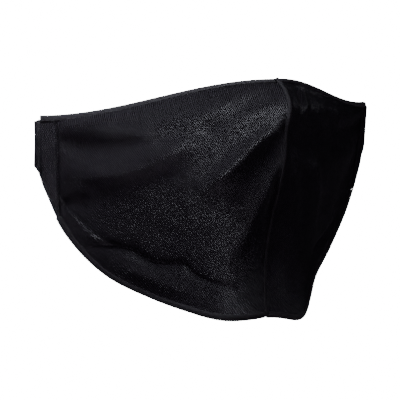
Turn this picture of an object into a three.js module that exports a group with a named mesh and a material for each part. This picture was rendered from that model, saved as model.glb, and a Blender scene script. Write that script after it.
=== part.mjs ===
// A contoured cloth face mask in its worn shape: two twill side panels meet in a raised seam down the middle, and
// their edges are finished with stitched hems and, at the ears, with flat open casings for an elastic.
// Millimetres. The origin is where the top edge crosses the bridge of the nose, +Z is up, -Y is forwards, away from
// the face, and +X is towards the wearer's left. Each side is worked out on the +X half and mirrored if need be.
import * as THREE from "three";

// Driving dimensions
const halfSpan = 113.5; // middle of the face to an ear end
const earDepth = 59; // ear ends behind the bridge of the nose
const topDrop = 19; // ear ends below the bridge of the nose
const earHeight = 26.3; // upright edge of an ear end
const earLean = { x: -1.2, y: 0.6 }; // foot of that edge against its head
const bulge = 6.5; // how far the middle of a panel stands out from its four edges
const clothThickness = 1.6; // two layers of cloth
const hem = { height: 2.8, thickness: 2.6, sides: 8, steps: 34 };
const seam = { width: 3.2, thickness: 3.4, sides: 8, steps: 44 };
const casing = { width: 10, thickness: 3.6, slitWidth: 7.4, slitThickness: 1.2, arcSteps: 5 };
const gap = 0.3; // between the hems, the seam and the casings
const panelGap = 0.8; // round a panel, whose edge the folds push to and fro
const panelGrid = { across: 30, up: 22 };
const foldReach = 7; // folds die out this near to an edge of the panel

// Side view of the centre seam, from chin to nose
const seamProfile = [
  { y: 8.0, z: -131 },
  { y: 9.6, z: -118 },
  { y: 8.8, z: -96 },
  { y: 3.4, z: -74 },
  { y: -3.0, z: -58 },
  { y: -7.4, z: -42 },
  { y: -8.4, z: -27 },
  { y: -11.6, z: -14 },
  { y: -7.0, z: -5.5 },
  { y: 0, z: 0 },
];

// Lower edge of a panel, from the seam under the chin to the foot of the ear end
const lowerEdge = [
  { x: 0, y: 8, z: -131 },
  { x: 14, y: 7.6, z: -130.6 },
  { x: 27, y: 10, z: -129.4 },
  { x: 38, y: 18, z: -126.8 },
  { x: 57, y: 36, z: -118.8 },
  { x: 78.5, y: 49.2, z: -105.4 },
  { x: 97.5, y: 56.5, z: -83 },
  { x: 108.5, y: 59.3, z: -58.5 },
  { x: halfSpan + earLean.x, y: earDepth + earLean.y, z: -topDrop - earHeight },
];

// Folds, as straight ridges (height over 0) and valleys on the flattened panel: a is the distance from the seam
// towards the ear, z the height, and width the reach to either side
const folds = {
  right: [
    { a0: -2, z0: -21, a1: 40, z1: -57, height: 2.6, width: 6 },
    { a0: 2, z0: -33, a1: 30, z1: -68, height: -2.4, width: 7 },
    { a0: 2, z0: -50, a1: 24, z1: -96, height: 1.8, width: 6 },
    { a0: 90, z0: -48, a1: 60, z1: -38, height: 2.2, width: 7 },
    { a0: 112, z0: -51, a1: 90, z1: -48, height: 2.0, width: 7 },
    { a0: 116, z0: -34, a1: 68, z1: -31, height: -1.8, width: 6 },
    { a0: 118, z0: -67, a1: 99, z1: -64, height: -1.6, width: 5 },
    { a0: 92, z0: -90, a1: 68, z1: -97, height: -2.6, width: 4 },
    { a0: 66, z0: -99, a1: 46, z1: -101, height: -2.4, width: 4 },
    { a0: 44, z0: -104, a1: 22, z1: -114, height: -1.8, width: 4 },
    { a0: 90, z0: -99, a1: 46, z1: -117, height: 2.4, width: 7 },
    { a0: 4, z0: -7, a1: 45, z1: -30, height: -1.4, width: 5 },
  ],
  left: [
    { a0: 21, z0: -5, a1: 11, z1: -22, height: 1.4, width: 5 },
    { a0: 18, z0: -40, a1: 30, z1: -66, height: 1.6, width: 6 },
    { a0: 30, z0: -66, a1: 41, z1: -90, height: 1.2, width: 7 },
    { a0: 110, z0: -50, a1: 62, z1: -40, height: 1.8, width: 7 },
    { a0: 112, z0: -36, a1: 66, z1: -28, height: -1.4, width: 6 },
    { a0: 88, z0: -88, a1: 44, z1: -104, height: -2.0, width: 5 },
  ],
};
// How far the cloth hangs lower beside the chin, and where
const chinSag = { right: 0.4, left: 4.2, at: 0.15, reach: 0.09 };

const sides = { right: -1, left: 1 };
const up = new THREE.Vector3(0, 0, 1);
const earwards = new THREE.Vector3(halfSpan, earDepth, 0).normalize(); // along a panel, from seam to ear
const earHead = new THREE.Vector3(halfSpan, earDepth, -topDrop);
const seamHead = new THREE.Vector3(0, 0, 0);

const curveThrough = (rows) =>
  new THREE.CatmullRomCurve3(
    rows.map(({ x = 0, y, z }) => new THREE.Vector3(x, y, z)),
    false,
    "chordal",
  );
const seamCurve = curveThrough(seamProfile);
const lowerCurve = curveThrough(lowerEdge);
const earFoot = lowerCurve.getPoint(1);
const chin = lowerCurve.getPoint(0);

const mix = (from, to, share) => from.clone().lerp(to, share);
const smooth = (x) => THREE.MathUtils.smoothstep(x, 0, 1);

const topPoint = (u) =>
  new THREE.Vector3(halfSpan * u, earDepth * u, (-topDrop * (1 - Math.cos(Math.PI * u))) / 2);

function lowerPoint(name, u) {
  const point = lowerCurve.getPointAt(u);
  point.z -= chinSag[name] * Math.exp(-(((u - chinSag.at) / chinSag.reach) ** 2));
  return point;
}

// The stretched sheet between the four edges: u runs from seam to ear, v from the lower to the top edge
function sheetPoint(name, u, v) {
  const across = mix(seamCurve.getPointAt(v), mix(earFoot, earHead, v), u);
  const upwards = mix(lowerPoint(name, u), topPoint(u), v);
  const corners = mix(mix(chin, earFoot, u), mix(seamHead, earHead, u), v);
  return across.add(upwards).sub(corners);
}

function outwards(point, u, v, step = 1e-3) {
  const du = point(Math.min(u + step, 1), v).sub(point(Math.max(u - step, 0), v));
  const dv = point(u, Math.min(v + step, 1)).sub(point(u, Math.max(v - step, 0)));
  return du.cross(dv).normalize();
}

function foldHeight(name, point) {
  const place = new THREE.Vector2(point.dot(earwards), point.z);
  let height = 0;
  for (const fold of folds[name]) {
    const start = new THREE.Vector2(fold.a0, fold.z0);
    const run = new THREE.Vector2(fold.a1, fold.z1).sub(start);
    const share = THREE.MathUtils.clamp(place.clone().sub(start).dot(run) / run.lengthSq(), 0, 1);
    const away = place.distanceTo(run.multiplyScalar(share).add(start));
    height += fold.height * Math.exp(-((away / fold.width) ** 2));
  }
  return height;
}

// A point on the outer face of the cloth: the sheet, bellied out, with its folds
function clothPoint(name, u, v) {
  const sheet = (p, q) => sheetPoint(name, p, q);
  const point = sheet(u, v);
  const toEdge = Math.min(
    point.distanceTo(sheet(0, v)),
    point.distanceTo(sheet(1, v)),
    point.distanceTo(sheet(u, 0)),
    point.distanceTo(sheet(u, 1)),
  );
  const lift =
    bulge * Math.sin(Math.PI * u) * Math.sin(Math.PI * v) + foldHeight(name, point) * smooth(toEdge / foldReach);
  return point.addScaledVector(outwards(sheet, u, v), lift);
}

// Closed meshes from rings and grids of points. The winding is turned round if the volume comes out negative.
function solid(points, triangles) {
  let volume = 0;
  for (const [i, j, k] of triangles) volume += points[i].dot(points[j].clone().cross(points[k]));
  const facingOut = volume < 0 ? triangles.map(([i, j, k]) => [i, k, j]) : triangles;
  const geometry = new THREE.BufferGeometry().setFromPoints(points);
  geometry.setIndex(facingOut.flat());
  geometry.computeVertexNormals();
  return geometry;
}

// Rows of a grid of points, as triangles; indexOf gives a grid place's point
function gridTriangles(rows, columns, indexOf) {
  const triangles = [];
  for (let i = 0; i < rows; i++)
    for (let j = 0; j < columns; j++) {
      const corners = [indexOf(i, j), indexOf(i + 1, j), indexOf(i + 1, j + 1), indexOf(i, j + 1)];
      triangles.push([corners[0], corners[1], corners[2]], [corners[0], corners[2], corners[3]]);
    }
  return triangles;
}

// A rod through rings of equal count, closed by a flat fan at each end
function rod(rings) {
  const count = rings[0].length;
  const points = rings.flat();
  const triangles = gridTriangles(rings.length - 1, count, (i, j) => i * count + (j % count));
  const last = (rings.length - 1) * count;
  for (let j = 1; j < count - 1; j++) triangles.push([0, j, j + 1], [last, last + j + 1, last + j]);
  return solid(points, triangles);
}

// A wall between an outer and an inner grid of points of the same size
function wall(outer, inner) {
  const rows = outer.length - 1;
  const columns = outer[0].length - 1;
  const width = columns + 1;
  const innerStart = (rows + 1) * width;
  const outerAt = (i, j) => i * width + j;
  const innerAt = (i, j) => innerStart + outerAt(i, j);
  const triangles = [
    ...gridTriangles(rows, columns, outerAt),
    ...gridTriangles(rows, columns, innerAt).map(([i, j, k]) => [i, k, j]),
  ];
  const rim = [];
  for (let i = 0; i < rows; i++) rim.push([i, 0]);
  for (let j = 0; j < columns; j++) rim.push([rows, j]);
  for (let i = rows; i > 0; i--) rim.push([i, columns]);
  for (let j = columns; j > 0; j--) rim.push([0, j]);
  rim.forEach(([i, j], n) => {
    const [k, l] = rim[(n + 1) % rim.length];
    triangles.push([outerAt(i, j), innerAt(i, j), innerAt(k, l)], [outerAt(i, j), innerAt(k, l), outerAt(k, l)]);
  });
  return solid([...outer.flat(), ...inner.flat()], triangles);
}

// The share from low to high at which a growing measure reaches a value
function shareWhere(measure, value, low = 0, high = 1) {
  for (let n = 0; n < 18; n++) {
    const middle = (low + high) / 2;
    if (measure(middle) < value) low = middle;
    else high = middle;
  }
  return (low + high) / 2;
}

// Where a casing starts, measured along the panel from the seam
const casingStart = earHead.dot(earwards) - casing.width;

// How far along a column of the sheet an edge strip of a given height reaches, as a share of the column
function stripShare(name, u, height, atTop) {
  const v = atTop ? 1 : 0;
  const column = sheetPoint(name, u, 1 - v).sub(sheetPoint(name, u, v));
  const step = 1e-3;
  const edge = sheetPoint(name, Math.min(u + step, 1), v).sub(sheetPoint(name, Math.max(u - step, 0), v));
  const slant = Math.max(Math.sin(column.angleTo(edge)), 0.3);
  return height / (column.length() * slant);
}

// Where a panel's grid place (shares across and up) lies on the sheet. Its edges keep clear of the seam, the
// casing and the hems, and each pair of them depends on the other share, so the place is found in a few rounds.
function panelPlace(name, acrossShare, upShare) {
  let u = acrossShare;
  let v = upShare;
  for (let round = 0; round < 3; round++) {
    const first = shareWhere((p) => sheetPoint(name, p, v).x, seam.width / 2 + panelGap, 0, 0.2);
    const last = shareWhere((p) => sheetPoint(name, p, v).dot(earwards), casingStart - panelGap, 0.5, 1);
    u = THREE.MathUtils.lerp(first, last, acrossShare);
    const low = stripShare(name, u, hem.height + panelGap, false);
    const high = 1 - stripShare(name, u, hem.height + panelGap, true);
    v = THREE.MathUtils.lerp(low, high, upShare);
  }
  return [u, v];
}

function panel(name) {
  const point = (u, v) => clothPoint(name, u, v);
  const outer = [];
  const inner = [];
  for (let i = 0; i <= panelGrid.across; i++) {
    const places = Array.from({ length: panelGrid.up + 1 }, (_, j) =>
      panelPlace(name, i / panelGrid.across, j / panelGrid.up),
    );
    outer.push(places.map(([u, v]) => point(u, v)));
    inner.push(places.map(([u, v]) => point(u, v).addScaledVector(outwards(point, u, v), -clothThickness)));
  }
  return wall(outer, inner);
}

// A rounded section round a centre, reach half its width along one axis and half its thickness along the other
function section(centre, along, through, width, thickness, count) {
  const ring = [];
  for (let n = 0; n < count; n++) {
    const angle = (2 * Math.PI * (n + 0.5)) / count;
    ring.push(
      centre
        .clone()
        .addScaledVector(along, (Math.cos(angle) * width) / 2)
        .addScaledVector(through, (Math.sin(angle) * thickness) / 2),
    );
  }
  return ring;
}

// A hem bead along the top or the lower edge of a panel, from the seam to the casing
function hemBead(name, atTop) {
  const v = atTop ? 1 : 0;
  const sheet = (p, q) => sheetPoint(name, p, q);
  const first = shareWhere((u) => sheet(u, v).x, seam.width / 2 + gap, 0, 0.2);
  const last = shareWhere((u) => sheet(u, v).dot(earwards), casingStart - gap, 0.5, 1);
  const rings = [];
  for (let i = 0; i <= hem.steps; i++) {
    const u = THREE.MathUtils.lerp(first, last, i / hem.steps);
    const edge = sheet(Math.min(u + 1e-3, 1), v).sub(sheet(Math.max(u - 1e-3, 0), v)).normalize();
    const normal = outwards(sheet, u, v);
    const inwards = normal.clone().cross(edge).normalize().multiplyScalar(atTop ? -1 : 1);
    const centre = sheet(u, v)
      .addScaledVector(inwards, hem.height / 2)
      .addScaledVector(normal, -clothThickness / 2);
    rings.push(section(centre, inwards, normal, hem.height, hem.thickness, hem.sides));
  }
  return rod(rings);
}

// The raised seam from chin to nose: a bead in the plane of symmetry
function seamBead() {
  const across = new THREE.Vector3(1, 0, 0);
  const rings = [];
  for (let i = 0; i <= seam.steps; i++) {
    const share = i / seam.steps;
    const forwards = across.clone().cross(seamCurve.getTangentAt(share)).normalize();
    const centre = seamCurve.getPointAt(share).addScaledVector(forwards, -clothThickness / 2);
    rings.push(section(centre, across, forwards, seam.width, seam.thickness, seam.sides));
  }
  return rod(rings);
}

// Outline of a flat tube in its own axes: a across its width, b through its thickness
function tubeOutline(width, thickness) {
  const radius = thickness / 2;
  const outline = [];
  for (const end of [1, -1])
    for (let n = 0; n <= casing.arcSteps; n++) {
      const angle = end * Math.PI * (n / casing.arcSteps - 0.5) * end + (end < 0 ? Math.PI : 0);
      outline.push({ a: end * (width / 2 - radius) + radius * Math.cos(angle), b: radius * Math.sin(angle) });
    }
  return outline;
}

// The flat, open casing at an ear end: cut level with the top edge, and along the slanting lower edge
function earCasing() {
  const through = earwards.clone().cross(up).normalize();
  const middle = earHead
    .clone()
    .addScaledVector(earwards, -casing.width / 2)
    .addScaledVector(through, -clothThickness / 2);
  const footShare = shareWhere((u) => lowerCurve.getPointAt(u).dot(earwards), casingStart, 0.5, 1);
  const innerFoot = lowerCurve.getPointAt(footShare).z;
  const place = ({ a, b }, atTop) => {
    const share = a / casing.width + 0.5;
    const height = atTop ? -topDrop : THREE.MathUtils.lerp(innerFoot, earFoot.z, share);
    const point = middle.clone().addScaledVector(earwards, a).addScaledVector(through, b);
    point.z = height;
    return point;
  };
  const outside = tubeOutline(casing.width, casing.thickness);
  const inside = tubeOutline(casing.slitWidth, casing.slitThickness);
  const rings = [
    outside.map((p) => place(p, true)),
    outside.map((p) => place(p, false)),
    inside.map((p) => place(p, false)),
    inside.map((p) => place(p, true)),
  ];
  const count = outside.length;
  const indexOf = (i, j) => (i % rings.length) * count + (j % count);
  return solid(rings.flat(), gridTriangles(rings.length, count, indexOf));
}

const twill = new THREE.MeshStandardMaterial({ color: 0x16161a, roughness: 0.72, metalness: 0 });
const edging = new THREE.MeshStandardMaterial({ color: 0x111112, roughness: 0.85, metalness: 0 });

function piece(name, geometry, material, side = 1) {
  const mesh = new THREE.Mesh(geometry, material);
  mesh.name = name;
  mesh.scale.x = side;
  return mesh;
}

const mask = new THREE.Group();
mask.add(piece("centre_seam", seamBead(), edging));
for (const [name, side] of Object.entries(sides)) {
  mask.add(piece(`${name}_panel`, panel(name), twill, side));
  mask.add(piece(`${name}_top_hem`, hemBead(name, true), edging, side));
  mask.add(piece(`${name}_lower_hem`, hemBead(name, false), edging, side));
  mask.add(piece(`${name}_ear_casing`, earCasing(), twill, side));
}

export default mask;
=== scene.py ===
import math

import bpy
import numpy as np
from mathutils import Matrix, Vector


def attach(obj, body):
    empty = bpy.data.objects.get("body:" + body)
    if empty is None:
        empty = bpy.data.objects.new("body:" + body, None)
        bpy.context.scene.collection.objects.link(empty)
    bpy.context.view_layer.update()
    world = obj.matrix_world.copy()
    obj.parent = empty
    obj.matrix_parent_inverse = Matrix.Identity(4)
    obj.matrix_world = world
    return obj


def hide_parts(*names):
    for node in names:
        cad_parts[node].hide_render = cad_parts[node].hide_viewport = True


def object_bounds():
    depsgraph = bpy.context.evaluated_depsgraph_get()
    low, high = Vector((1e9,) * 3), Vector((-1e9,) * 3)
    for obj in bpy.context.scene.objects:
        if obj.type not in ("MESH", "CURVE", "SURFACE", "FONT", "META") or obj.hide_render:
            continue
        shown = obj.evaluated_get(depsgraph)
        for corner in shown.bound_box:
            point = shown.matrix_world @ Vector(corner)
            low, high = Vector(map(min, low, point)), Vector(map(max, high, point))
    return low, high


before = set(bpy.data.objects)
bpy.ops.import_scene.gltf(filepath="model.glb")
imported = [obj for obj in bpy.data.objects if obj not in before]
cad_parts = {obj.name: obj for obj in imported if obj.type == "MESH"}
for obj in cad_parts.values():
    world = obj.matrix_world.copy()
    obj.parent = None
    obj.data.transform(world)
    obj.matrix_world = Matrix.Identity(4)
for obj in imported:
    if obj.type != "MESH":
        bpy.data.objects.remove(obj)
cadLow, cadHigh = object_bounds()

mm = (cadHigh.x - cadLow.x) / 226.62  # one millimetre of the cut, from the span that the frame has

cut = {  # the cut of one half, in millimetres from the bridge of the nose; the other half mirrors it in x
    "halfSpan": 113.5,  # to the ear end
    "earDepth": 59.0,
    "topDrop": 19.0,
    "bulge": 6.5,  # how far a panel bellies out between its edges
    "cloth": 1.6,  # two layers of twill
    "casingWidth": 10.0,
    "seam": [  # side view of the centre seam, y and z from the chin up
        (8.0, -131), (9.6, -118), (8.8, -96), (3.4, -74), (-3.0, -58),
        (-7.4, -42), (-8.4, -27), (-11.6, -14), (-7.0, -5.5), (0, 0),
    ],
    "lowerEdge": [  # x, y and z from the chin to the foot of the ear end
        (0, 8, -131), (14, 7.6, -130.6), (27, 10, -129.4), (38, 18, -126.8), (57, 36, -118.8),
        (78.5, 49.2, -105.4), (97.5, 56.5, -83), (108.5, 59.3, -58.5), (112.3, 59.6, -45.3),
    ],
}

# A fold is a line of (distance from the seam along the panel, height) places, with its lift, its reach to
# either side and its power: 2 is a soft roll and 1 a sharp crease.
rightHalf = {
    "name": "right",
    "side": -1,
    "chinSag": 0.4,
    "folds": [
        dict(line=[(-1.5, -22), (14, -34.6), (26, -46), (39, -56)], lift=3.0, reach=4.2, power=2),
        dict(line=[(1.7, -32), (15, -46.5), (22.5, -58), (29, -68)], lift=-1.7, reach=5.2, power=2),
        dict(line=[(1.2, -47), (8.2, -62), (16.8, -81), (24, -95)], lift=1.5, reach=5.0, power=2),
        dict(line=[(0.2, -50), (2.2, -64), (4.0, -78)], lift=-1.0, reach=2.4, power=2),
        dict(line=[(121, -24), (104, -22), (84, -20)], lift=1.6, reach=5.0, power=2),
        dict(line=[(118, -33), (90, -35.4), (66, -31.5)], lift=-2.2, reach=5.0, power=2),
        dict(line=[(112, -50), (84, -46.8), (60, -39), (42, -28)], lift=3.1, reach=5.2, power=2),
        dict(line=[(118, -67), (98, -64)], lift=-1.8, reach=4.2, power=2),
        dict(line=[(108, -91), (92, -89.4), (78, -91), (70, -96), (64, -99.2), (49, -99.2), (45, -104),
                   (38, -108), (22, -112.8)], lift=-3.0, reach=2.0, power=1),
        dict(line=[(89, -100), (68, -107.8), (47, -116.6)], lift=2.6, reach=6.5, power=2),
        dict(line=[(4.5, -6.2), (26, -18.2), (44.6, -29)], lift=-1.5, reach=4.2, power=2),
        dict(line=[(12, -3), (34, -14), (56, -24)], lift=0.4, reach=4.5, power=2),
    ],
}
leftHalf = {
    "name": "left",
    "side": 1,
    "chinSag": 6.0,
    "folds": [
        dict(line=[(22, -4), (9.5, -19)], lift=1.2, reach=3.4, power=2),
        dict(line=[(15, -3), (6, -15)], lift=-1.0, reach=2.6, power=2),
        dict(line=[(20, -42), (29.5, -57), (40.5, -81)], lift=1.5, reach=5.0, power=2),
        dict(line=[(11, -46), (19, -64), (28, -88)], lift=-1.4, reach=4.5, power=2),
        dict(line=[(110, -50), (84, -46), (62, -40)], lift=1.8, reach=6.0, power=2),
        dict(line=[(114, -34), (90, -34), (66, -28)], lift=-1.4, reach=5.4, power=2),
        dict(line=[(92, -88), (70, -97), (44, -104)], lift=-2.0, reach=3.0, power=1),
        dict(line=[(84, -97), (60, -109), (40, -116)], lift=1.6, reach=6.0, power=2),
    ],
}


def spline(rows, share):
    # cubic curve through the rows, which stand at their shares of the summed chords; the slope at a row is
    # that of the line between its neighbours
    rows = np.asarray(rows, float)
    knots = np.concatenate([[0], np.cumsum(np.linalg.norm(np.diff(rows, axis=0), axis=1))])
    knots /= knots[-1]
    ends = np.arange(len(rows))
    before, after = np.maximum(ends - 1, 0), np.minimum(ends + 1, len(rows) - 1)
    slopes = (rows[after] - rows[before]) / (knots[after] - knots[before])[:, None]
    share = np.clip(np.asarray(share, float), 0, 1)
    i = np.clip(np.searchsorted(knots, share, side="right") - 1, 0, len(rows) - 2)
    step = (knots[i + 1] - knots[i])[..., None]
    s = (share[..., None] - knots[i][..., None]) / step
    return (
        (2 * s**3 - 3 * s**2 + 1) * rows[i]
        + (s**3 - 2 * s**2 + s) * step * slopes[i]
        + (3 * s**2 - 2 * s**3) * rows[i + 1]
        + (s**3 - s**2) * step * slopes[i + 1]
    )


def smooth(x):
    # 0 below 0, 1 above 1, and 3x^2 - 2x^3 between
    x = np.clip(x, 0, 1)
    return x * x * (3 - 2 * x)


def unit(vectors):
    return vectors / np.maximum(np.linalg.norm(vectors, axis=-1, keepdims=True), 1e-12)


chin = np.array(cut["lowerEdge"][0], float)
earFoot = np.array(cut["lowerEdge"][-1], float)
earHead = np.array([cut["halfSpan"], cut["earDepth"], -cut["topDrop"]])
earwards = unit(np.array([cut["halfSpan"], cut["earDepth"], 0.0]))  # along a panel, from the seam to the ear
casingLine = earHead @ earwards - cut["casingWidth"]  # where the casing starts


def sheetPoint(half, u, v):
    # the four edges blended: seam to ear across, lower to top edge upwards, less the blend of the corners.
    # u runs from the seam to the ear and v from the lower to the top edge.
    u, v = np.broadcast_arrays(np.asarray(u, float), np.asarray(v, float))
    U, V = u[..., None], v[..., None]
    seam = np.concatenate([np.zeros_like(V), spline(cut["seam"], v)], -1)
    ear = earFoot + V * (earHead - earFoot)
    lower = spline(cut["lowerEdge"], u)
    lower[..., 2] -= half["chinSag"] * np.exp(-(((u - 0.16) / 0.09) ** 2))
    drop = cut["topDrop"] * (1 - np.cos(np.pi * u)) / 2
    top = np.stack([cut["halfSpan"] * u, cut["earDepth"] * u, -drop], -1)
    corners = (1 - U) * (1 - V) * chin + U * (1 - V) * earFoot + U * V * earHead
    return (1 - U) * seam + U * ear + (1 - V) * lower + V * top - corners


def normalOf(surface, u, v, step=1e-3):
    # the cross product of the surface's slopes along u and v, which points away from the face
    du = surface(np.minimum(u + step, 1), v) - surface(np.maximum(u - step, 0), v)
    dv = surface(u, np.minimum(v + step, 1)) - surface(u, np.maximum(v - step, 0))
    return unit(np.cross(du, dv))


def lineDistance(places, rows):
    # distance to the nearest stretch of a curve through the rows, and the share of the curve where that lies
    line = spline(rows, np.linspace(0, 1, 25))
    start, run = line[:-1], np.diff(line, axis=0)
    offset = places[..., None, :] - start
    share = np.clip((offset * run).sum(-1) / (run**2).sum(-1), 0, 1)
    away = np.linalg.norm(offset - share[..., None] * run, axis=-1)
    nearest = away.argmin(-1)[..., None]
    along = (np.take_along_axis(share, nearest, -1) + nearest) / len(run)
    return np.take_along_axis(away, nearest, -1)[..., 0], along[..., 0]


def foldLift(half, places):
    # each fold lifts by exp(-(distance / reach)^power), and less towards the two ends of its line
    lift = np.zeros(places.shape[:-1])
    for fold in half["folds"]:
        away, along = lineDistance(places, fold["line"])
        taper = 0.35 + 0.65 * smooth(np.minimum(along, 1 - along) / 0.25)
        lift += fold["lift"] * taper * np.exp(-((away / fold["reach"]) ** fold["power"]))
    return lift


ripples = {"count": 26, "shortest": 9.0, "longest": 34.0, "lift": 0.06, "seed": 5}


def rippleLift(half, places):
    # a sum of sine waves of seeded direction, length and phase, higher where longer
    draw = np.random.default_rng(ripples["seed"] + half["side"])
    lift = np.zeros(places.shape[:-1])
    for _ in range(ripples["count"]):
        length = draw.uniform(ripples["shortest"], ripples["longest"])
        turn = draw.uniform(0, np.pi)
        phase = draw.uniform(0, 2 * np.pi)
        wave = 2 * np.pi * (places[..., 0] * np.cos(turn) + places[..., 1] * np.sin(turn)) / length
        lift += ripples["lift"] * (length / ripples["longest"]) * np.sin(wave + phase)
    return lift


# how far in from each edge the folds reach their full lift, and the belly from the ear's lower corner
fades = {"seam": 4, "casing": 6, "top": 8, "lower": 12, "earCorner": 65}


def clothPoint(half, u, v):
    # the sheet, lifted along its normal by the belly, the folds and the ripples, which fade towards the edges
    sheet = sheetPoint(half, u, v)
    height = np.linalg.norm(sheetPoint(half, u, 1) - sheetPoint(half, u, 0), axis=-1)
    places = np.stack([sheet @ earwards, sheet[..., 2]], -1)
    fade = smooth(sheet[..., 0] / fades["seam"]) * smooth((casingLine - places[..., 0]) / fades["casing"])
    fade = fade * smooth((1 - v) * height / fades["top"]) * smooth(v * height / fades["lower"])
    flatter = smooth(np.linalg.norm(sheet - earFoot, axis=-1) / fades["earCorner"])
    lift = cut["bulge"] * np.sin(np.pi * u) * np.sin(np.pi * v) * flatter
    lift += fade * (foldLift(half, places) + rippleLift(half, places))
    return sheet + lift[..., None] * normalOf(lambda p, q: sheetPoint(half, p, q), u, v)


def shareWhere(measure, value, low, high):
    # halves the range, for every element at once, until a growing measure meets the value
    for _ in range(18):
        middle = (low + high) / 2
        below = measure(middle) < value
        low, high = np.where(below, middle, low), np.where(below, high, middle)
    return (low + high) / 2


def stripShare(half, u, width, atTop):
    # the share of a column that an edge strip takes up: its width over the column's length and its slant
    v = 1.0 if atTop else 0.0
    column = sheetPoint(half, u, 1 - v) - sheetPoint(half, u, v)
    edge = sheetPoint(half, np.minimum(u + 1e-3, 1), v) - sheetPoint(half, np.maximum(u - 1e-3, 0), v)
    slant = np.linalg.norm(np.cross(unit(column), unit(edge)), axis=-1)
    return width / (np.linalg.norm(column, axis=-1) * np.maximum(slant, 0.3))


def seamShare(half, v, away):
    # the share along u at a distance from the plane of the seam
    return shareWhere(lambda u: sheetPoint(half, u, v)[..., 0], away, np.zeros_like(v), np.full_like(v, 0.3))


def casingShare(half, v, along):
    # the share along u at a distance from the seam, measured along the panel
    measure = lambda u: sheetPoint(half, u, v) @ earwards
    return shareWhere(measure, along, np.full_like(v, 0.5), np.ones_like(v))


# Meshes. Points come in millimetres of the +X half; the other half is mirrored, and its faces turned round.
def makePiece(name, points, quads, half=None, cutMap=None, material=None, caps=()):
    points = np.array(points, float).reshape(-1, 3) * mm
    quads = np.asarray(quads).reshape(-1, 4)
    side = half["side"] if half else 1
    points[:, 0] *= side
    faces = (quads if side > 0 else quads[:, ::-1]).tolist()
    faces += [list(cap) if side > 0 else list(cap)[::-1] for cap in caps]
    mesh = bpy.data.meshes.new(name)
    mesh.from_pydata(points.tolist(), [], faces)
    mesh.shade_smooth()
    if cutMap is not None:
        corners = np.empty(len(mesh.loops), np.int32)
        mesh.loops.foreach_get("vertex_index", corners)
        layer = mesh.uv_layers.new(name="cut")
        layer.data.foreach_set("uv", np.asarray(cutMap, np.float32).reshape(-1, 2)[corners].ravel())
    mesh.materials.append(material)
    piece = bpy.data.objects.new(name, mesh)
    bpy.context.scene.collection.objects.link(piece)
    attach(piece, "root")
    return piece


def gridQuads(rows, columns, closed=False, first=0):
    # the quads of a grid of points; with closed, the last column joins the first
    i, j = np.meshgrid(np.arange(rows - 1), np.arange(columns if closed else columns - 1), indexing="ij")
    k = (j + 1) % columns
    quads = np.stack([i * columns + j, (i + 1) * columns + j, (i + 1) * columns + k, i * columns + k], -1)
    return first + quads.reshape(-1, 4)


def sweep(rings):
    # quads round a closed section carried along a path, and the faces of its two ends
    steps, count = rings.shape[:2]
    start = list(range(count))
    end = [(steps - 1) * count + k for k in reversed(range(count))]
    return gridQuads(steps, count, closed=True), [start, end]


def cumulative(points, axis):
    # length along a grid line up to each point
    steps = np.linalg.norm(np.diff(points, axis=axis), axis=-1)
    zero = np.zeros_like(np.take(steps, [0], axis=axis))
    return np.concatenate([zero, np.cumsum(steps, axis=axis)], axis=axis)


def threads(paths, normals, radius, sides=6):
    # round threads along many paths at once: rings about each point, across its tangent, smaller at the ends
    tangent = unit(np.gradient(paths, axis=1))
    across = unit(np.cross(tangent, normals))
    through = np.cross(across, tangent)
    turn = 2 * np.pi * np.arange(sides) / sides
    girth = np.full(paths.shape[1], radius)
    girth[[0, -1]] *= 0.45
    ring = across[:, :, None] * np.cos(turn)[:, None] + through[:, :, None] * np.sin(turn)[:, None]
    points = paths[:, :, None] + ring * girth[:, None, None]
    many, steps = paths.shape[:2]
    one = gridQuads(steps, sides, closed=True)
    last = (steps - 1) * sides
    ends = [[0, 1, 2, 3], [0, 3, 4, 5]]
    ends += [[last + 3, last + 2, last + 1, last], [last + 5, last + 4, last + 3, last]]
    one = np.concatenate([one, ends])
    quads = (np.arange(many) * steps * sides)[:, None, None] + one
    along = cumulative(paths, 1)[:, :, None] + np.zeros(sides)
    wrap = np.broadcast_to(turn / (2 * np.pi), along.shape)
    return points, quads.reshape(-1, 4), np.stack([along, wrap], -1)


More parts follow.
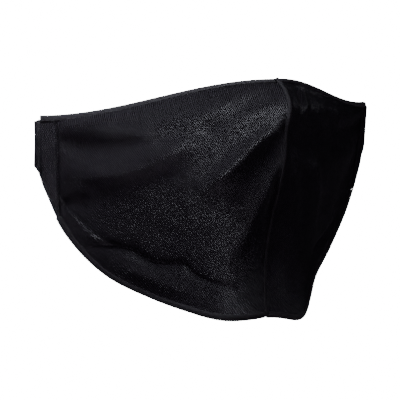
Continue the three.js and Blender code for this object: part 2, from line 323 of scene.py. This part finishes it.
# Shader maths: a Wire is a socket, and sums and products of wires add the Math nodes that they need.
class Wire:
    def __init__(self, tree, socket=None):
        self.tree = tree
        self.socket = socket

    def make(self, kind, settings=None, inputs=None, output=0):
        node = self.tree.nodes.new(kind)
        for key, value in (settings or {}).items():
            if key == "stops":
                ramp = node.color_ramp
                while len(ramp.elements) < len(value):
                    ramp.elements.new(0.5)
                for element, (position, colour) in zip(ramp.elements, value):
                    element.position = position
                    element.color = colour
            else:
                setattr(node, key, value)
        for key, value in (inputs or {}).items():
            if isinstance(value, Wire):
                self.tree.links.new(value.socket, node.inputs[key])
            else:
                node.inputs[key].default_value = value
        return Wire(self.tree, node.outputs[output]) if len(node.outputs) else node

    def maths(self, operation, *values):
        return self.make("ShaderNodeMath", {"operation": operation}, dict(enumerate(values)))

    def __add__(self, other):
        return self.maths("ADD", self, other)

    def __sub__(self, other):
        return self.maths("SUBTRACT", self, other)

    def __mul__(self, other):
        return self.maths("MULTIPLY", self, other)

    def __rsub__(self, other):
        return self.maths("SUBTRACT", other, self)

    __radd__ = __add__
    __rmul__ = __mul__

    def wave(self, shift=0.0):
        # 0 to 1 and back once for each whole number
        turn = self * (2 * math.pi) + shift
        return turn.maths("COSINE", turn) * 0.5 + 0.5

    def mix(self, low, high):
        # from one colour to another as this wire goes from 0 to 1
        return self.make("ShaderNodeMix", {"data_type": "RGBA"}, {0: self, 6: low, 7: high}, 2)

    def part(self, index):
        # one number of a place: 0 is x and 1 is y
        return self.make("ShaderNodeSeparateXYZ", None, {0: self}, index)

    def noise(self, scale, detail=2.0, roughness=0.5):
        return self.make("ShaderNodeTexNoise", None,
                         {"Vector": self, "Scale": scale, "Detail": detail, "Roughness": roughness})


def newMaterial(name):
    material = bpy.data.materials.new(name)
    material.use_nodes = True
    material.node_tree.nodes.clear()
    return material, Wire(material.node_tree)


def finishMaterial(start, shaderInputs, height=None, depth=0.0002, strength=1.0):
    # one Principled shader, with a bump node before its normal
    inputs = dict(shaderInputs)
    if height is not None:
        inputs["Normal"] = start.make("ShaderNodeBump", None,
                                      {"Height": height, "Distance": depth, "Strength": strength})
    shader = start.make("ShaderNodeBsdfPrincipled", None, inputs)
    start.make("ShaderNodeOutputMaterial", None, {"Surface": shader})


twill = {
    "pitch": 0.92,  # between ribs, mm
    "lean": math.radians(56),  # of a rib above the cloth's cross direction
    "float": 1.25,  # length of a thread's float along a rib, mm
    "drift": 0.5,  # how far the ribs wander, in pitches
    # dark and light ends of the cloth's colour; the painted highlight on the rib tops and the painted shade
    # in the valleys run between them
    "dark": (0.0015, 0.0013, 0.002, 1),
    "light": (0.085, 0.076, 0.094, 1),
    "roughness": 0.49,
    "ribShine": 0.22,  # how much less rough the tops of the ribs are
    "fibreRoughness": 0.4,
    "depth": 0.0016,
    "sheen": 0.03,
    "sheenRoughness": 0.35,
    "sheenTint": (0.80, 0.82, 1.0, 1),
}


def twillMaterial():
    material, start = newMaterial("black twill")
    place = start.make("ShaderNodeUVMap", {"uv_map": "cut"})
    x = place.part(0)
    y = place.part(1)
    broad = place.noise(0.045, 3.0)
    fibre = place.noise(3.1, 2.0, 0.6)
    lean = twill["lean"]
    phase = (x * math.sin(lean) - y * math.cos(lean)) * (1 / twill["pitch"]) + broad * (2 * twill["drift"])
    along = (x * math.cos(lean) + y * math.sin(lean)) * (1 / twill["float"]) + phase * 0.33
    rib = phase.wave()
    knuckle = along.wave()
    height = rib * 0.75 + rib * knuckle * 0.35 + fibre * 0.25
    # colour: rib and knuckle tops painted lighter and the valleys between them painted darker, a painted
    # highlight and painted shade of the weave; the fibre noise adds random tone
    paintedShadeAndTone = (rib * 0.60 + rib * knuckle * 0.35 + fibre * 0.35 - 0.15) * 0.8
    colour = paintedShadeAndTone.mix(twill["dark"], twill["light"])
    rough = (fibre - 0.5) * twill["fibreRoughness"] + (twill["roughness"] - rib * twill["ribShine"])
    finishMaterial(start, {
        "Base Color": colour,
        "Roughness": rough,
        "Specular IOR Level": 0.5,
        "Sheen Weight": twill["sheen"],
        "Sheen Roughness": twill["sheenRoughness"],
        "Sheen Tint": twill["sheenTint"],
    }, height, twill["depth"])
    return material


# the spread from dark to light carries the painted highlight on the rib tops and the fuzz's random tone
edging = {"dark": (0.002, 0.002, 0.0025, 1), "light": (0.080, 0.080, 0.088, 1), "rib": 0.55, "sheen": 0.05}


def edgingMaterial():
    material, start = newMaterial("folded edging")
    place = start.make("ShaderNodeUVMap", {"uv_map": "cut"})
    x = place.part(0)
    y = place.part(1)
    fuzz = place.noise(2.4, 4.0, 0.7)
    rib = ((x + y * 0.8) * (1 / edging["rib"]) + fuzz * 0.7).wave()
    height = rib * 0.6 + fuzz * 0.7
    # colour: the rib tops painted lighter, a painted highlight on the ridges, with the fuzz noise as random
    # tone
    paintedShadeAndTone = rib * 0.35 + (fuzz - 0.4) * 1.3
    finishMaterial(start, {
        "Base Color": paintedShadeAndTone.mix(edging["dark"], edging["light"]),
        "Roughness": 0.66 - fuzz * 0.25,
        "Sheen Weight": edging["sheen"],
        "Sheen Roughness": 0.5,
    }, height, 0.0003)
    return material


# the spread from dark to light carries the painted highlight on the ply tops and the fuzz's random tone
thread = {"dark": (0.006, 0.006, 0.007, 1), "light": (0.10, 0.10, 0.108, 1), "twist": 0.5}


def threadMaterial():
    material, start = newMaterial("black sewing thread")
    place = start.make("ShaderNodeUVMap", {"uv_map": "cut"})
    along = place.part(0)
    wrap = place.part(1)
    ply = (along * (1 / thread["twist"]) + wrap * 2).wave()
    fuzz = place.noise(4.0, 3.0, 0.6)
    finishMaterial(start, {
        # colour: the tops of the ply twist painted lighter, a painted highlight, with the fuzz noise as
        # random tone
        "Base Color": (ply * 0.6 + fuzz * 0.4).mix(thread["dark"], thread["light"]),
        "Roughness": 0.45 + fuzz * 0.2,
        "Sheen Weight": 0.05,
    }, ply, 0.00008)
    return material


twillCloth = twillMaterial()
edgingCloth = edgingMaterial()
blackThread = threadMaterial()
print("materials made")

panel = {"across": 230, "up": 190, "seamAway": 0.3, "casingAway": -0.1, "tuck": 1.5}


def panelPlaces(half):
    # grid places between the seam, the casing and the two hems; each edge depends on the other share, so
    # they are found in rounds
    across, upwards = np.meshgrid(
        np.linspace(0, 1, panel["across"] + 1), np.linspace(0, 1, panel["up"] + 1), indexing="ij")
    u, v = across, upwards
    for _ in range(3):
        first = seamShare(half, v, panel["seamAway"])
        last = casingShare(half, v, casingLine - panel["casingAway"])
        u = first + (last - first) * across
        low = stripShare(half, u, panel["tuck"], False)
        high = 1 - stripShare(half, u, panel["tuck"], True)
        v = low + (high - low) * upwards
    return u, v


def makePanel(half):
    u, v = panelPlaces(half)
    outer = clothPoint(half, u, v)
    normal = unit(np.cross(np.gradient(outer, axis=0), np.gradient(outer, axis=1)))
    inner = outer - normal * cut["cloth"]
    rows, columns = outer.shape[:2]
    count = rows * columns
    index = np.arange(count).reshape(rows, columns)
    rim = np.concatenate([index[:-1, 0], index[-1, :-1], index[:0:-1, -1], index[0, :0:-1]])
    following = np.roll(rim, -1)
    quads = np.concatenate([
        gridQuads(rows, columns),
        gridQuads(rows, columns, first=count)[:, ::-1],
        np.stack([rim, rim + count, following + count, following], -1),
    ])
    length, height = cumulative(outer, 0), cumulative(outer, 1)
    cutMap = np.stack([half["side"] * length, height - height[:, -1:]], -1)
    cells = np.cross(np.diff(outer, axis=0)[:, :-1], np.diff(outer, axis=1)[:-1])
    area = np.linalg.norm(cells, axis=-1).sum()
    name = half["name"] + "_panel_cloth"
    piece = makePiece(name, [outer, inner], quads, half, [cutMap, cutMap], twillCloth)
    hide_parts(half["name"] + "_panel")
    print(name, "area in mm2", round(float(area)), "width", round(float(length.max()), 1),
          "height", round(float(height.max()), 1))
    return piece, (float(length.max()) * mm, float(height.max()) * mm), float(area) * mm * mm


hem = {
    "steps": 220,
    "start": 1.05,  # away from the plane of the seam
    "overCasing": 7.6,  # the top hem runs on over the casing
    "slot": 1.3,  # how deep in from the edge the panel's rim sits
    "stitchIn": 2.35,  # distance in from the edge and lift of the stitches
    "stitchLift": 0.72,
    "section": [  # distance in from the edge and lift of a folded hem that grips the panel's rim
        (3.0, 0.12), (3.05, 0.42), (2.5, 0.66), (1.4, 0.74), (0.5, 0.62), (-0.2, 0.2), (-0.45, -0.4),
        (-0.5, -0.8), (-0.45, -1.2), (-0.2, -1.8), (0.5, -2.22), (1.4, -2.34), (2.5, -2.26), (3.05, -2.02),
        (3.0, -1.72), (1.3, -1.72), (1.3, 0.12),
    ],
}


def hemPath(half, atTop, steps):
    # points, inward and outward directions along an edge, from the seam to the casing
    v = 1.0 if atTop else 0.0
    surface = lambda p, q: sheetPoint(half, p, q)
    one = np.array([v])
    first = seamShare(half, one, hem["start"])[0]
    last = casingShare(half, one, casingLine + (hem["overCasing"] if atTop else -0.3))[0]
    u = np.linspace(first, last, steps)
    points = surface(u, v)
    along = unit(np.gradient(points, axis=0))
    normal = normalOf(surface, u, np.full_like(u, v))
    inwards = unit(np.cross(normal, along)) * (-1 if atTop else 1)
    return points, inwards, normal


def makeHem(half, atTop):
    points, inwards, normal = hemPath(half, atTop, hem["steps"])
    section = np.array(hem["section"])
    rings = (points[:, None] + inwards[:, None] * section[:, :1] + normal[:, None] * section[:, 1:])
    if atTop:
        rings = rings[:, ::-1]
    quads, caps = sweep(rings)
    along = np.broadcast_to(cumulative(points, 0)[:, None], rings.shape[:2])
    around = np.broadcast_to(cumulative(section, 0)[None], rings.shape[:2])
    where = "top" if atTop else "lower"
    name = f"{half['name']}_{where}_hem_fold"
    piece = makePiece(name, rings, quads[:, ::-1], half, np.stack([along, around], -1), edgingCloth,
                      [cap[::-1] for cap in caps])
    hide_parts(f"{half['name']}_{where}_hem")
    return piece


overlock = {
    "pitch": 0.95, "radius": 0.17, "slant": 0.45, "points": 11,
    "height": 1.62,  # half the height of the ellipse
    "middle": -0.8,  # its centre, half way through the cloth
    "beyond": 0.6,  # how far it stands out past the edge
}


def makeOverlock(half, atTop):
    # each thread goes over the edge from lip to lip: half an ellipse round the hem, slanting forwards
    points, inwards, normal = hemPath(half, atTop, 700)
    length = cumulative(points, 0)
    centres = np.arange(0.8, length[-1] - 0.8, overlock["pitch"])
    turn = np.linspace(-0.97, 0.97, overlock["points"]) * np.pi / 2
    at = centres[:, None] + overlock["slant"] * overlock["pitch"] * np.sin(turn)
    pick = lambda rows: np.stack([np.interp(at, length, rows[:, k]) for k in range(3)], -1)
    edge, inward, outward = pick(points), unit(pick(inwards)), unit(pick(normal))
    reach = hem["section"][1][0] + 0.5
    away = unit(outward * np.sin(turn)[:, None] * 1.6 - inward * np.cos(turn)[:, None] * reach)
    paths = edge + inward * (reach * (1 - np.cos(turn)))[:, None] - inward * overlock["beyond"]
    rise = overlock["height"] * np.sin(turn) * np.abs(np.cos(turn * 0.62)) ** 0.3 + overlock["middle"]
    paths = paths + outward * rise[:, None]
    made, quads, cutMap = threads(paths, away, overlock["radius"])
    where = "top" if atTop else "lower"
    return makePiece(f"{half['name']}_{where}_hem_overlock", made, quads, half, cutMap, blackThread)


seam = {
    "steps": 240,
    "length": 131,  # from the nose to the chin
    "post": (0.92, 1.35),  # at its two ends the web fills the space between the hems: half width and height
    "section": [  # distance from the plane of the seam and lift, for one side: ridge, web and inner tape
        (0.0, 1.35), (0.5, 1.24), (0.85, 0.85), (1.0, 0.4), (0.95, 0.12), (0.2, 0.10), (0.2, -1.74),
        (3.4, -1.76), (3.5, -2.1), (3.3, -2.36), (0.0, -2.45),
    ],
}


def seamSize(v):
    # how proud the ridge stands: in full at the nose, low from the mouth to the chin
    return 0.30 + 0.70 * smooth((v - 0.62) / 0.28)


def seamRow(half, away, lift, v):
    # a line at a distance from the seam's plane, lifted off the cloth; the lift leans out with the distance
    ends = np.minimum(v, 1 - v) * seam["length"] < seam["post"][1]
    atEnds = seam["post"][0] if lift < 0.11 else away
    u = seamShare(half, v, np.where(ends & (away > 0), atEnds, max(away, 1e-4)))
    surface = lambda p, q: sheetPoint(half, p, q)
    direction = normalOf(surface, np.maximum(u, 0.004), v)
    direction = unit(direction * np.array([float(smooth(away / 2.5)), 1, 1]))
    ridge = lift if lift < 0.11 else 0.1 + (lift - 0.1) * seamSize(v)
    return surface(u, v) + direction * np.reshape(ridge, (-1, 1))


def makeSeam():
    v = np.linspace(0.0, 1.0, seam["steps"])
    right = [seamRow(rightHalf, away, lift, v) * [-1, 1, 1] for away, lift in seam["section"]]
    left = [seamRow(leftHalf, away, lift, v) for away, lift in seam["section"][-2:0:-1]]
    rings = np.stack(right + left, 1)
    quads, caps = sweep(rings)
    along = np.broadcast_to(cumulative(rings[:, 0], 0)[:, None], rings.shape[:2])
    around = cumulative(rings, 1)
    piece = makePiece("centre_seam_ridge", rings, quads, None, np.stack([along, around], -1), edgingCloth,
                      caps)
    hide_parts("centre_seam")
    return piece


ticks = {
    "pitch": 0.85, "radius": 0.15, "from": 0.66,
    "over": [  # distance from the plane of the seam and lift, from foot to foot
        (-1.06, 0.35), (-0.98, 0.75), (-0.75, 1.1), (-0.4, 1.36), (0, 1.45),
        (0.4, 1.36), (0.75, 1.1), (0.98, 0.75), (1.06, 0.35),
    ],
}


def makeSeamTicks():
    # short threads over the ridge, from one foot to the other, as far down as the ridge stands proud
    dense = np.linspace(ticks["from"], 0.985, 400)
    foot = seamRow(leftHalf, 0.0, 1.35, dense)
    length = cumulative(foot, 0)
    centres = np.arange(0.3, length[-1], ticks["pitch"])
    paths = []
    for n, (away, lift) in enumerate(ticks["over"]):
        slant = 0.35 * ticks["pitch"] * (n / (len(ticks["over"]) - 1) - 0.5)
        v = np.interp(centres + slant, length, dense)
        half = leftHalf if away >= 0 else rightHalf
        paths.append(seamRow(half, abs(away), lift, v) * [1 if away >= 0 else -1, 1, 1])
    paths = np.stack(paths, 1)
    outward = paths - (paths[:, :1] + paths[:, -1:]) / 2 + np.array([0, -0.3, 0])
    made, quads, cutMap = threads(paths, unit(outward), ticks["radius"])
    return makePiece("centre_seam_stitches", made, quads, None, cutMap, blackThread)


casing = {
    "steps": 70,
    "around": 96,
    "outside": [  # distance from the casing's start and lift, front half: slot, lip, tunnel, end band and end
        (0.35, -0.8), (0.35, 0.08), (-1.0, 0.1), (-1.4, 0.22), (-0.9, 0.34), (1.2, 0.5), (4.0, 0.6),
        (6.8, 0.52), (7.7, 0.3), (8.6, 0.7), (9.7, 0.72), (10.6, 0.1), (10.8, -0.8),
    ],
    "inside": [(1.7, -0.8), (2.1, -0.36), (5.2, -0.14), (8.3, -0.36), (8.8, -0.8)],
    "cornerDrop": 2.4,  # how much lower the ear end's corner is than the top edge
    "mouthDrop": 4.4,  # how much lower the mouth is at the back, where the tunnel is open
    "stitchLift": 0.68,
}


def casingOutline(rows):
    # the front half and its mirror behind the middle of the cloth, on a closed curve of evenly spaced points
    rows = np.array(rows)
    back = rows[-2:0:-1] * [1, -1] + [0, -cut["cloth"]]
    closed = spline(np.concatenate([rows, back, rows[:1]]), np.linspace(0, 1, casing["around"] + 1)[:-1])
    return closed[:, 0], closed[:, 1]


def makeCasing(half):
    surface = lambda p, q: clothPoint(half, p, q)
    walls = []
    for rows in (casing["outside"], casing["inside"]):
        across, lift = casingOutline(rows)
        height = np.linalg.norm(earHead - earFoot)
        behind = smooth((-0.6 - lift) / 0.8)
        drop = hem["slot"] + 0.2 + (casing["mouthDrop"] - hem["slot"]) * behind
        drop = np.maximum(drop, casing["cornerDrop"] * smooth((across - 7.6) / 1.2))
        v = np.linspace(0, 1, casing["steps"])[:, None] * (1 - drop / height)
        inHem = smooth(((1 - v) * height - 2.4) / 2.0)
        lift = np.where((lift > 0.08) & (across < 7.8), 0.08 + (lift - 0.08) * inHem, lift + 0 * v)
        first = casingShare(half, v, casingLine)
        u = first + (1 - first) * across / cut["casingWidth"]
        inSheet = np.minimum(u, 1)
        beyond = (u - inSheet)[..., None] * (earHead - sheetPoint(half, 0, 1))
        walls.append(surface(inSheet, v) + beyond + normalOf(surface, inSheet, v) * lift[..., None])
    outer, inner = walls
    rings = np.concatenate([outer, inner[::-1], outer[:1]])
    steps, count = rings.shape[:2]
    quads = gridQuads(steps, count, closed=True) % ((steps - 1) * count)
    around = cumulative(rings[:-1] * [1, 1, 0], 1)
    cutMap = np.stack([half["side"] * around, rings[:-1, :, 2]], -1)
    name = half["name"] + "_ear_casing_tube"
    piece = makePiece(name, rings[:-1], quads[:, ::-1], half, cutMap, twillCloth)
    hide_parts(half["name"] + "_ear_casing")
    return piece


stitch = {"length": 1.9, "gap": 0.9, "radius": 0.17, "points": 7}


def stitchRow(name, half, points, normals):
    # stitches along a row: each an arch of sin over its length, its ends sunk in the cloth
    length = cumulative(points, 0)
    starts = np.arange(stitch["gap"], length[-1] - stitch["length"], stitch["length"] + stitch["gap"])
    share = np.linspace(0, 1, stitch["points"])
    at = starts[:, None] + share * stitch["length"]
    pick = lambda rows: np.stack([np.interp(at, length, rows[:, k]) for k in range(3)], -1)
    outward = unit(pick(normals))
    arch = stitch["radius"] * (1.5 * np.sin(np.pi * share) - 0.7)
    paths = pick(points) + outward * arch[:, None]
    made, quads, cutMap = threads(paths, outward, stitch["radius"])
    return makePiece(name, made, quads, half, cutMap, blackThread)


def makeCasingStitches(half):
    v = np.linspace(0.03, 0.97, 160)
    surface = lambda p, q: sheetPoint(half, p, q)
    u = casingShare(half, v, casingLine + 0.1)
    normals = normalOf(surface, u, v)
    lifted = clothPoint(half, u, v) + normals * casing["stitchLift"]
    return stitchRow(half["name"] + "_ear_casing_stitches", half, lifted, normals)


def makeHemStitches(half, atTop):
    points, inwards, normal = hemPath(half, atTop, 500)
    where = "top" if atTop else "lower"
    lifted = points + inwards * hem["stitchIn"] + normal * hem["stitchLift"]
    return stitchRow(f"{half['name']}_{where}_hem_stitches", half, lifted, normal)


for half in (rightHalf, leftHalf):
    cloth, flat, area = makePanel(half)
    edges = [makeHem(half, atTop) for atTop in (True, False)]
    edges += [makeOverlock(half, atTop) for atTop in (True, False)]
    edges += [makeHemStitches(half, True)]
    edges += [makeCasing(half), makeCasingStitches(half)]
    print(half["name"], "half made")
makeSeam()
makeSeamTicks()
print("seam made")

studio = {
    "azimuth": -33, "elevation": 8, "distance": 0.65, "lens": 110,
    "aim": (0.327, 0.372, 0.523),  # where the camera looks, as shares of the frame's box
    "whiteness": 20.0,  # of the floor and the backdrop, which don't light the cloth
    "floorDrop": 0.20,  # below the chin, so that nothing of it lights the cloth
    "lights": [  # name, azimuth, elevation, distance, size, power and colour
        ("key", -102, 48, 0.27, 0.07, 0.38, (0.88, 0.90, 1.0)),
        ("band", -62, 64, 0.3, 0.08, 0.25, (0.88, 0.90, 1.0)),
        ("side", -95, 5, 0.9, 0.4, 1.5, (0.92, 0.80, 1.0)),
        ("under", -60, -20, 0.9, 0.4, 0.7, (0.95, 0.78, 1.0)),
        ("front", 0, 15, 1.0, 0.8, 1.2, (0.96, 0.74, 1.0)),
        ("right", 45, 25, 0.9, 0.5, 0.6, (0.92, 0.92, 1.0)),
        ("back", 172, 28, 0.9, 0.5, 4.0, (0.92, 0.92, 1.0)),
    ],
}


def directionTo(azimuth, elevation):
    # unit vector from the mask towards a viewer at these angles
    a, e = math.radians(azimuth), math.radians(elevation)
    return Vector((math.sin(a) * math.cos(e), -math.cos(a) * math.cos(e), math.sin(e)))


def aimed(thing, target, azimuth, elevation, distance):
    back = directionTo(azimuth, elevation)
    thing.location = target + back * distance
    thing.rotation_euler = back.to_track_quat("Z", "Y").to_euler()
    bpy.context.scene.collection.objects.link(thing)


def makeStudio():
    size = cadHigh - cadLow
    aim = Vector([low + share * s for low, share, s in zip(cadLow, studio["aim"], size)])
    camera = bpy.data.objects.new("camera", bpy.data.cameras.new("camera"))
    camera.data.lens = studio["lens"]
    camera.data.sensor_width = 36
    camera.data.clip_start = 0.05
    aimed(camera, aim, studio["azimuth"], studio["elevation"], studio["distance"])
    bpy.context.scene.camera = camera
    for name, azimuth, elevation, distance, width, power, colour in studio["lights"]:
        light = bpy.data.lights.new(name, "AREA")
        light.size = width
        light.energy = power
        light.color = colour
        aimed(bpy.data.objects.new(name, light), aim, azimuth, elevation, distance)
    world = bpy.data.worlds.new("white studio")
    world.use_nodes = True
    world.node_tree.nodes["Background"].inputs["Strength"].default_value = studio["whiteness"]
    world.node_tree.nodes["Background"].inputs["Color"].default_value = (1, 1, 1, 1)
    world.cycles_visibility.diffuse = False
    world.cycles_visibility.glossy = False
    bpy.context.scene.world = world
    pale, start = newMaterial("pale floor")
    glow = start.make("ShaderNodeEmission", None, {"Color": (1, 1, 1, 1), "Strength": studio["whiteness"]})
    start.make("ShaderNodeOutputMaterial", None, {"Surface": glow})
    mesh = bpy.data.meshes.new("floor")
    z = cadLow.z - studio["floorDrop"]
    mesh.from_pydata([(-3, -3, z), (3, -3, z), (3, 3, z), (-3, 3, z)], [], [(0, 1, 2, 3)])
    mesh.materials.append(pale)
    floor = bpy.data.objects.new("floor", mesh)
    floor.visible_diffuse = False
    floor.visible_glossy = False
    bpy.context.scene.collection.objects.link(floor)


makeStudio()
print("studio made")
